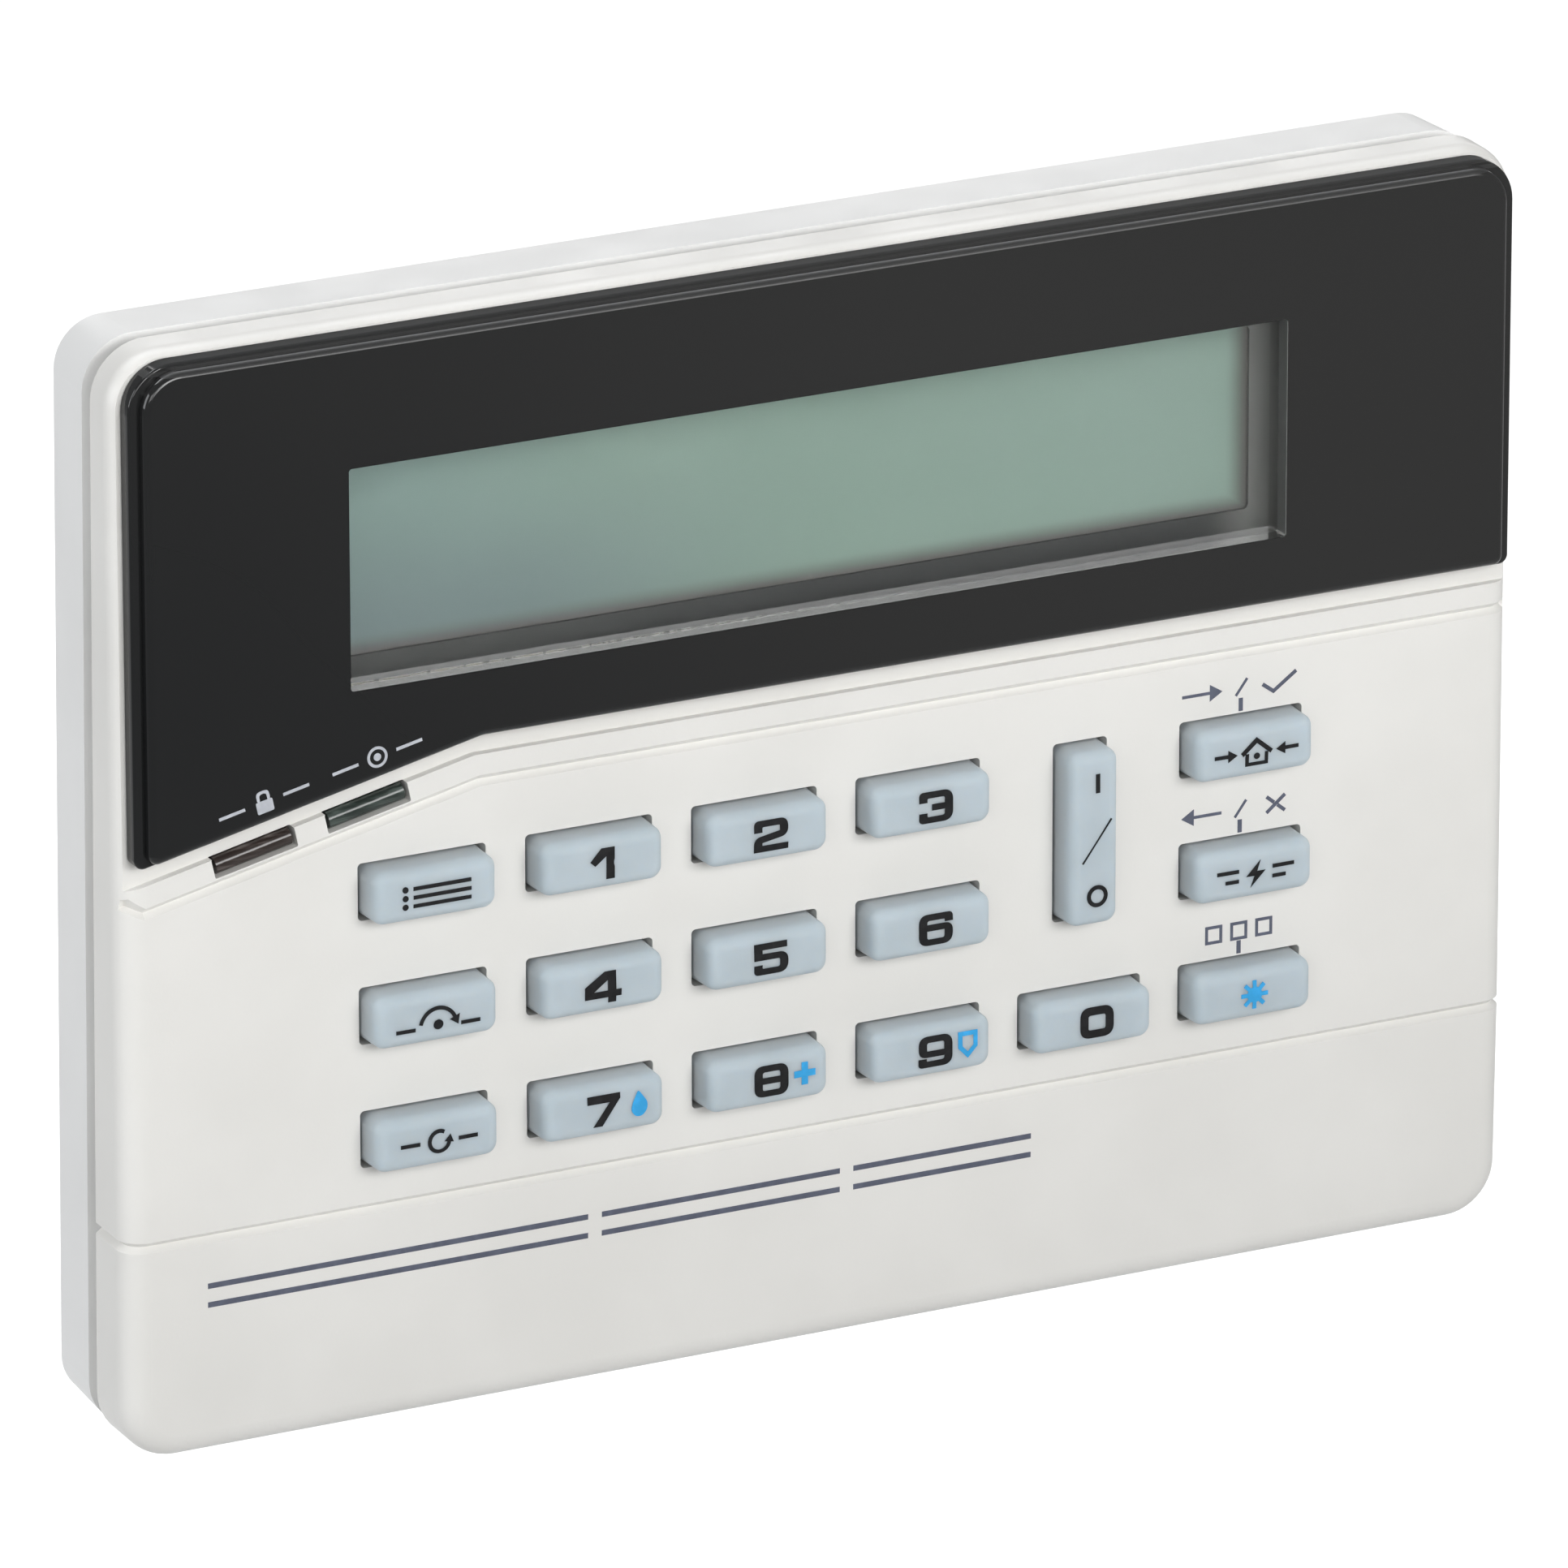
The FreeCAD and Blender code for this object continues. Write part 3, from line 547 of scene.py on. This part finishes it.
def loft(rings, to_space):
    """Closed skin over rings of (points, depth of each point), from back to front."""
    bm = bmesh.new()
    rows = [[bm.verts.new(to_space(x, z, d)) for (x, z), d in zip(points, depths)]
            for points, depths in rings]
    for a, b in zip(rows, rows[1:]):
        for i in range(len(a)):
            j = (i + 1) % len(a)
            bm.faces.new((a[i], a[j], b[j], b[i]))
    bm.faces.new(rows[0][::-1])
    bm.faces.new(rows[-1])
    return bm


def make_key(name):
    """A soft cap in place of the CAD key; returns what places a printed point on its face."""
    low, high = key_spans[name]
    centre_x, centre_z = (low[0] + high[0]) / 2, (low[2] + high[2]) / 2
    half_w = (high[0] - low[0]) / 2 - FLANGE + CAP_SWELL
    half_h = (high[2] - low[2]) / 2 - FLANGE + CAP_SWELL
    front, back = low[1], high[1]
    flange_front = FACE + FLANGE_DEPTH
    flange_back = flange_front + FLANGE_T

    rings = []

    def add(inset_w, inset_h, radius, depth):
        points = rounded_ring(half_w - inset_w, half_h - inset_h, radius)
        rings.append((points, [depth] * len(points)))

    add(STEM_INSET_W, STEM_INSET_H, STEM_CORNER, back)
    add(STEM_INSET_W, STEM_INSET_H, STEM_CORNER, flange_back)
    add(-FLANGE, -FLANGE, FLANGE_CORNER, flange_back)
    add(-FLANGE, -FLANGE, FLANGE_CORNER, flange_front)
    add(0, 0, CAP_CORNER, flange_front)
    base = front + CAP_ROUND + CAP_CROWN
    for k in range(SIDE_PARTS + 1):
        share = k / SIDE_PARTS
        add(DRAFT * share, DRAFT * share, CAP_CORNER, flange_front + (base - flange_front) * share)
    for k in range(1, ROUND_PARTS + 1):
        angle = math.pi / 2 * k / ROUND_PARTS
        inset = DRAFT + CAP_ROUND * (1 - math.cos(angle))
        radius = CAP_CORNER - (CAP_CORNER - FACE_CORNER) * k / ROUND_PARTS
        add(inset, inset, radius, base - CAP_ROUND * math.sin(angle))
    face_w, face_h = half_w - DRAFT - CAP_ROUND, half_h - DRAFT - CAP_ROUND
    smaller = min(face_w, face_h)
    for share in (0.94, 0.85, 0.72, 0.56, 0.38, 0.2, 0.06):
        points = rounded_ring(face_w * share + (1 - share) * (face_w - smaller),
                              face_h * share + (1 - share) * (face_h - smaller), FACE_CORNER * share)
        rings.append((points, [front + cap_sag(x, z, face_w, face_h) for x, z in points]))

    def to_space(x, z, depth):
        return at(centre_x + x, depth, centre_z + z)

    mesh = finish_mesh(name + "_cap", loft(rings, to_space), True)
    obj = add_object(name + "_cap", mesh, MATERIALS["silicone"], name)
    mesh.set_sharp_from_angle(angle=math.radians(50))
    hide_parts(name)

    def print_space(x, z, lift):
        return at(centre_x + x, front + cap_sag(x, z, face_w, face_h) - lift, centre_z + z)

    return print_space


# ---- digits: squared, wide and bold ----
UPRIGHT, LEVEL, ZERO_LEVEL = 0.95, 0.7, 0.9     # stroke widths
TOP, SIDE = 1.73, 1.5                           # top of a digit; middle of its side strokes
CREST, ZERO_CREST = TOP - LEVEL / 2, TOP - ZERO_LEVEL / 2    # middle of the top strokes
INNER = SIDE - UPRIGHT / 2                      # inner edge of a side stroke
BOLD = dict(upright=UPRIGHT, level=LEVEL)
SIX = [stroke([(SIDE + 0.02, 0.72), (SIDE + 0.02, CREST), (-SIDE, CREST), (-SIDE, -CREST), (SIDE, -CREST),
               (SIDE, 0.24), (0.004 - INNER, 0.24)], reach=[0, 0.55, 0.7, 0.7, 0.7, 0.5, 0], **BOLD)]
FOUR = ((1.5, TOP), (0.2, TOP), (-2.1, 0.25), (-2.1, -1.12), (0.58, -1.12), (0.58, -TOP), (1.5, -TOP),
        (1.5, -1.12), (2.1, -1.12), (2.1, -0.38), (1.5, -0.38))
FOUR_HOLE = ((0.55, 0.82), (0.55, -0.38), (-1.12, -0.38))
DIGITS = {
    "0": [stroke([(-SIDE, -ZERO_CREST), (SIDE, -ZERO_CREST), (SIDE, ZERO_CREST), (-SIDE, ZERO_CREST)],
                 UPRIGHT, ZERO_LEVEL, 0.75, True)],
    "1": [polygon([(1.42, TOP), (-0.1, TOP), (-1.42, 0.38), (-0.86, -0.14), (0.44, 0.84), (0.44, -TOP),
                   (1.42, -TOP)])],
    "2": [stroke([(-SIDE, 0.45), (-SIDE, CREST), (SIDE, CREST), (SIDE, 0.12), (-SIDE, -0.42),
                  (-SIDE, -CREST), (SIDE + 0.5, -CREST)], reach=[0, 0.6, 0.6, 0.45, 0.45, 0, 0], **BOLD)],
    "3": [stroke([(-SIDE, 0.58), (-SIDE, CREST), (SIDE, CREST), (SIDE, -CREST), (-SIDE, -CREST),
                  (-SIDE, -0.58)], reach=[0, 0.6, 0.7, 0.7, 0.6, 0], **BOLD),
          stroke([(-0.5, 0), (INNER + 0.001, 0)], **BOLD)],
    "4": [[[Vector(p) for p in loop] for loop in (FOUR, FOUR_HOLE)]],
    "5": [stroke([(SIDE + 0.35, CREST), (-SIDE, CREST), (-SIDE, 0.26), (SIDE, 0.26), (SIDE, -CREST),
                  (-SIDE, -CREST), (-SIDE, -0.62)], reach=[0, 0, 0, 0.65, 0.7, 0.6, 0], **BOLD)],
    "6": SIX,
    "7": [polygon([(-1.88, TOP), (1.9, TOP), (1.9, 1.15), (-0.14, -TOP), (-1.2, -TOP), (0.69, 0.84),
                   (-1.88, 0.84)])],
    "8": [stroke([(-SIDE, -CREST), (SIDE, -CREST), (SIDE, CREST), (-SIDE, CREST)], reach=0.7, closed=True,
                 **BOLD),
          stroke([(-INNER - 0.001, 0.05), (INNER + 0.001, 0.05)], **BOLD)],
    "9": [shifted(loops, turn=180) for loops in SIX],
}


# ---- plain signs in place of words ----
def star():
    """One outline round eight blunt arms."""
    inner, outer, foot, tip = 0.86, 1.6, 0.22, 0.24     # the arms' reach, then their half widths
    points = []
    for k in range(8):
        way = math.tau * k / 8
        out, side = Vector((math.cos(way), math.sin(way))), Vector((-math.sin(way), math.cos(way)))
        points += [out * inner - side * foot, out * outer - side * tip,
                   out * outer + side * tip, out * inner + side * foot]
    return [[points]]


HEAD_SHARE = 0.62               # half the width of an arrow head, as a share of its length


def arrow(x0, x1, z, width, head):
    sign = 1 if x1 > x0 else -1
    neck = x1 - sign * head
    return [polygon([(x0, z - width / 2), (neck, z - width / 2), (neck, z - head * HEAD_SHARE), (x1, z),
                     (neck, z + head * HEAD_SHARE), (neck, z + width / 2), (x0, z + width / 2)])]


def arc_arrow(x, z, radius, start, end, width, head):
    """Part of a ring that ends in an arrow head."""
    steps = 28
    angles = [math.radians(start + (end - start) * k / steps) for k in range(steps + 1)]
    path = [(x + radius * math.cos(a), z + radius * math.sin(a)) for a in angles]
    angle = math.radians(end)
    out = Vector((math.cos(angle), math.sin(angle)))
    on = Vector((-out.y, out.x)) * (1 if end > start else -1)
    tip = Vector(path[-1])
    head_points = [tip + out * head * HEAD_SHARE, tip + on * head, tip - out * head * HEAD_SHARE]
    return [stroke(path, width, width), [head_points]]


def padlock():
    body = polygon([(-0.95, -1.15), (0.95, -1.15), (0.95, 0.2), (-0.95, 0.2)], 0.18)
    shackle = stroke([(-0.58, 0.2), (-0.58, 1.12), (0.58, 1.12), (0.58, 0.2)], 0.32, 0.32, reach=0.55)
    return [body, shackle]


LINE = 0.42                     # usual line width of the signs


def dashes(inner, outer, z=0.0):
    return [bar(-outer, z, -inner, z, LINE), bar(inner, z, outer, z, LINE)]


LIST_ROWS = (0.95, 0.0, -0.95)
SIGNS = {
    "key_function": [disc(-3.6, z, 0.34) for z in LIST_ROWS]
    + [bar(-2.7, z, 3.9, z, LINE) for z in LIST_ROWS],
    "key_bypass": arc_arrow(0, -0.95, 2.05, 168, 24, LINE, 1.0) + [disc(0, -0.72, 0.55)]
    + dashes(2.6, 4.8, -0.95),
    "key_reset": arc_arrow(0, 0, 1.12, 60, 350, LINE, 0.85) + dashes(2.2, 4.4),
    "key_interior": [stroke([(-1.75, -0.1), (0, 1.35), (1.75, -0.1)], 0.46, 0.5),
                     stroke([(-1.15, -0.05), (-1.15, -1.25), (1.15, -1.25), (1.15, -0.05)], 0.4, 0.4),
                     disc(0, -0.4, 0.36)] + arrow(-5.0, -2.3, 0, LINE, 1.1) + arrow(5.0, 2.3, 0, LINE, 1.1),
    "key_instant": [polygon([(0.6, 1.5), (-1.15, -0.2), (-0.15, -0.2), (-0.6, -1.5), (1.15, 0.3),
                             (0.15, 0.3)])]
    + dashes(2.0, 4.6, 0.55) + dashes(2.0, 3.6, -0.55),
    "key_on_off": [bar(0.25, 5.3, 0.25, 7.4, 0.5), bar(-1.5, -2.4, 1.9, 2.2, 0.2),
                   ring(0.25, -6.2, 1.0, 0.46)],
}
BLUE_SIGNS = {
    "key_star": star(),
    "key_7": [polygon([(3.8, 1.75), (4.85, 0.3), (4.85, -0.5), (4.3, -1.2), (3.5, -1.2), (2.95, -0.5),
                       (3.1, 0.3)], 0.35)],
    "key_8": [bar(2.8, 0.25, 5.3, 0.25, 0.75), bar(4.05, 0.624, 4.05, 1.5, 0.75),
              bar(4.05, -1.0, 4.05, -0.124, 0.75)],
    "key_9": [stroke([(3.2, 1.45), (5.0, 1.45), (5.0, 0.0), (4.1, -0.95), (3.2, 0.0)], 0.5, 0.5, 0.0, True)],
}
MARK_DROP = -0.1                # the marks sit slightly below the middle of a cap
DIGIT_SHIFTS = {"147": -0.2, "258": 0.15, "3690": 0.28}    # each column is printed a little aside


def print_signs(prefix, signs, name, on_cap, material):
    if name in signs:
        shapes = [shifted(loops, z=MARK_DROP) for loops in signs[name]]
        make_mark(prefix + name, shapes, on_cap, material, name)


for name in KEY_NAMES:
    on_cap = make_key(name)
    digit = name.split("_")[-1]
    if digit in DIGITS:
        aside = next(shift for column, shift in DIGIT_SHIFTS.items() if digit in column)
        shapes = [shifted(loops, aside) for loops in DIGITS[digit]]
        make_mark("digit_" + digit, shapes, on_cap, INK_BLACK, name)
    print_signs("sign_", SIGNS, name, on_cap, INK_BLACK)
    print_signs("blue_", BLUE_SIGNS, name, on_cap, INK_BLUE)


# ---- marks on the cover, above the right-hand keys and on the chin ----
def on_face(name, depth, rise=0.0):
    """Places a printed point at that depth, measured from a node's centre raised by that much."""
    low, high = span(name)
    x0, z0 = (low[0] + high[0]) / 2, (low[2] + high[2]) / 2 + rise
    return lambda x, z, lift: at(x0 + x, depth - lift, z0 + z)


LEGEND_Z, LEGEND_W, SQUARE = 5.9, 0.34, 0.85
slash = [bar(-0.6, LEGEND_Z - 0.8, 0.75, LEGEND_Z + 1.0, 0.3)]
LEGENDS = {
    "key_interior": arrow(-7.0, -2.2, LEGEND_Z, LEGEND_W, 1.5) + slash
    + [stroke([(2.6, LEGEND_Z), (3.9, LEGEND_Z - 0.95), (6.6, LEGEND_Z + 0.95)], LINE, LINE)],
    "key_instant": arrow(-2.2, -7.0, LEGEND_Z, LEGEND_W, 1.5) + slash
    + [bar(3.2, LEGEND_Z - 0.9, 5.4, LEGEND_Z + 0.9, 0.4),
       bar(3.2, LEGEND_Z + 0.9, 4.1, LEGEND_Z + 0.16, 0.4),
       bar(4.5, LEGEND_Z - 0.16, 5.4, LEGEND_Z - 0.9, 0.4)],
    "key_star": [stroke([(x - SQUARE, LEGEND_Z - SQUARE), (x + SQUARE, LEGEND_Z - SQUARE),
                         (x + SQUARE, LEGEND_Z + SQUARE), (x - SQUARE, LEGEND_Z + SQUARE)],
                        LEGEND_W, LEGEND_W, closed=True) for x in (-3.0, 0.0, 3.0)],
}
TICK = [polygon([(-0.25, 3.35), (0.25, 3.35), (0.25, 4.8), (-0.25, 4.8)])]
for name, shapes in LEGENDS.items():
    make_mark("legend_" + name, shapes + TICK, on_face(name, FACE), INK_SLATE, "panel")

STRIP_LEFT, STRIP_Z, STRIPE_W = -71.8, -42.4, 0.6
stripes = [bar(x0, z, x1, z, STRIPE_W) for x0, x1 in ((0.0, 43.6), (45.2, 73.0), (74.6, 95.6))
           for z in (1.05, -1.05)]
make_mark("strip_lines", stripes,
          lambda x, z, lift: Vector((STRIP_LEFT * MM + x, CHIN - lift, STRIP_Z * MM + z)), INK_SLATE, "panel")

# ---- marks on the lens, along its sloped edge ----
LENS_FACE = span("lens_window")[0][1]
EDGE_SLOPE = 12.45              # in degrees
ABOVE_PIPE = 0.0063
STATUS_SIGN = [ring(0, 0, 1.0, 0.3), disc(0, 0, 0.42)]
side_lines = [bar(2.2, 0, 5.2, 0, 0.34), bar(-5.2, 0, -2.2, 0, 0.34)]
for side, sign in (("armed", padlock()), ("status", STATUS_SIGN)):
    shapes = [shifted(loops, turn=EDGE_SLOPE) for loops in sign + side_lines]
    make_mark("sign_" + side, shapes, on_face(side + "_light_pipe", LENS_FACE, ABOVE_PIPE), INK_PALE, "panel")


# ---- camera, light and floor ----
def aim(eye, target, roll=0.0):
    ahead = (target - eye).normalized()
    up = Vector((0, 0, 1)) if abs(ahead.z) < 0.999 else Vector((0, 1, 0))     # straight down or not
    right = ahead.cross(up).normalized()
    above = right.cross(ahead)
    c, s = math.cos(roll), math.sin(roll)
    right, above = right * c + above * s, above * c - right * s
    turn = Matrix((right, above, -ahead)).transposed()
    return Matrix.Translation(eye) @ turn.to_4x4()


AZIMUTH, ELEVATION, ROLL = math.radians(26.92), math.radians(20.83), math.radians(0.515)
TARGET, DISTANCE = Vector((-1.63, -10, -0.27)) * MM, 1.6906
FOCAL_PIXELS, PICTURE_PIXELS = 19959, 1932
ahead = Vector((math.sin(AZIMUTH) * math.cos(ELEVATION), math.cos(AZIMUTH) * math.cos(ELEVATION),
                -math.sin(ELEVATION)))
camera = bpy.data.cameras.new("camera")
camera.sensor_width = 36.0
camera.lens = FOCAL_PIXELS / PICTURE_PIXELS * camera.sensor_width
camera.clip_end = 50
camera_object = bpy.data.objects.new("camera", camera)
camera_object.matrix_world = aim(TARGET - ahead * DISTANCE, TARGET, ROLL)
bpy.context.scene.collection.objects.link(camera_object)
bpy.context.scene.camera = camera_object


def softbox(name, place, target, size, power, spread, colour):
    light = bpy.data.lights.new(name, "AREA")
    light.color = colour
    light.spread = math.radians(spread)
    light.shape = "RECTANGLE"
    light.size, light.size_y = size
    light.energy = power
    obj = bpy.data.objects.new(name, light)
    obj.matrix_world = aim(Vector(place), Vector(target))
    bpy.context.scene.collection.objects.link(obj)
    return obj


def around(azimuth, elevation, distance):
    """A place seen from the panel: azimuth from straight ahead, right is positive."""
    a, e = math.radians(azimuth), math.radians(elevation)
    level = distance * math.cos(e)
    return level * math.sin(a), -level * math.cos(a), distance * math.sin(e)


WHITE_LIGHT, COOL_LIGHT = (1, 1, 1), (0.95, 0.97, 1)
LIGHTS = {      # name: place, aim, size, power, spread in degrees, colour
    "front_close": (around(5, 24, 0.5), (0, 0, 0.05), (0.9, 0.2), 0.61, 67, WHITE_LIGHT),
    "front_far": (around(10, 18, 2.0), (0, 0, 0), (0.8, 0.6), 4, 180, WHITE_LIGHT),
    "camera_side": (around(-40, 18, 2.2), (0, 0, 0), (0.8, 0.6), 5, 180, WHITE_LIGHT),
    "above": (around(0, 97, 1.2), (0, 0, 0), (1.4, 0.6), 2.3, 180, WHITE_LIGHT),
    "left": (around(-98, 15, 1.5), (0, 0, 0), (0.8, 0.8), 9.0, 180, COOL_LIGHT),
    "backdrop": ((0.95, 1.9, 0.6), (0.95, 1.9, -0.8), (2.0, 2.0), 38, 180, WHITE_LIGHT),
}
for name, values in LIGHTS.items():
    softbox(name, *values)
# a strip behind and above that shows only as a reflection along the lens edge
edge = softbox("edge", around(0, 113, 1.2), (0, 0, 0), (1.6, 0.35), 12, 180, COOL_LIGHT)
edge.visible_diffuse = False

world = bpy.data.worlds.new("studio")
world.use_nodes = True
background = world.node_tree.nodes["Background"]
background.inputs["Color"].default_value = (0.98, 0.99, 1.0, 1)
background.inputs["Strength"].default_value = 0.23
bpy.context.scene.world = world
bpy.context.scene.view_settings.view_transform = "Standard"

FLOOR_DROP, FLOOR_HALF = 0.8, 6
floor_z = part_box("rear_cover")[0].z - FLOOR_DROP
corners = [(x * FLOOR_HALF, y * FLOOR_HALF, floor_z) for x, y in ((-1, -1), (1, -1), (1, 1), (-1, 1))]
floor_mesh = bpy.data.meshes.new("floor")
floor_mesh.from_pydata(corners, [], [(0, 1, 2, 3)])
floor = bpy.data.objects.new("floor", floor_mesh)
bpy.context.scene.collection.objects.link(floor)
paper = Shader("floor_paper", Roughness=0.9)
paper.set("Base Color", paper.mix(paper.noise(3, 2), (0.93, 0.93, 0.93), (0.96, 0.96, 0.96)))
floor_mesh.materials.append(paper.material)
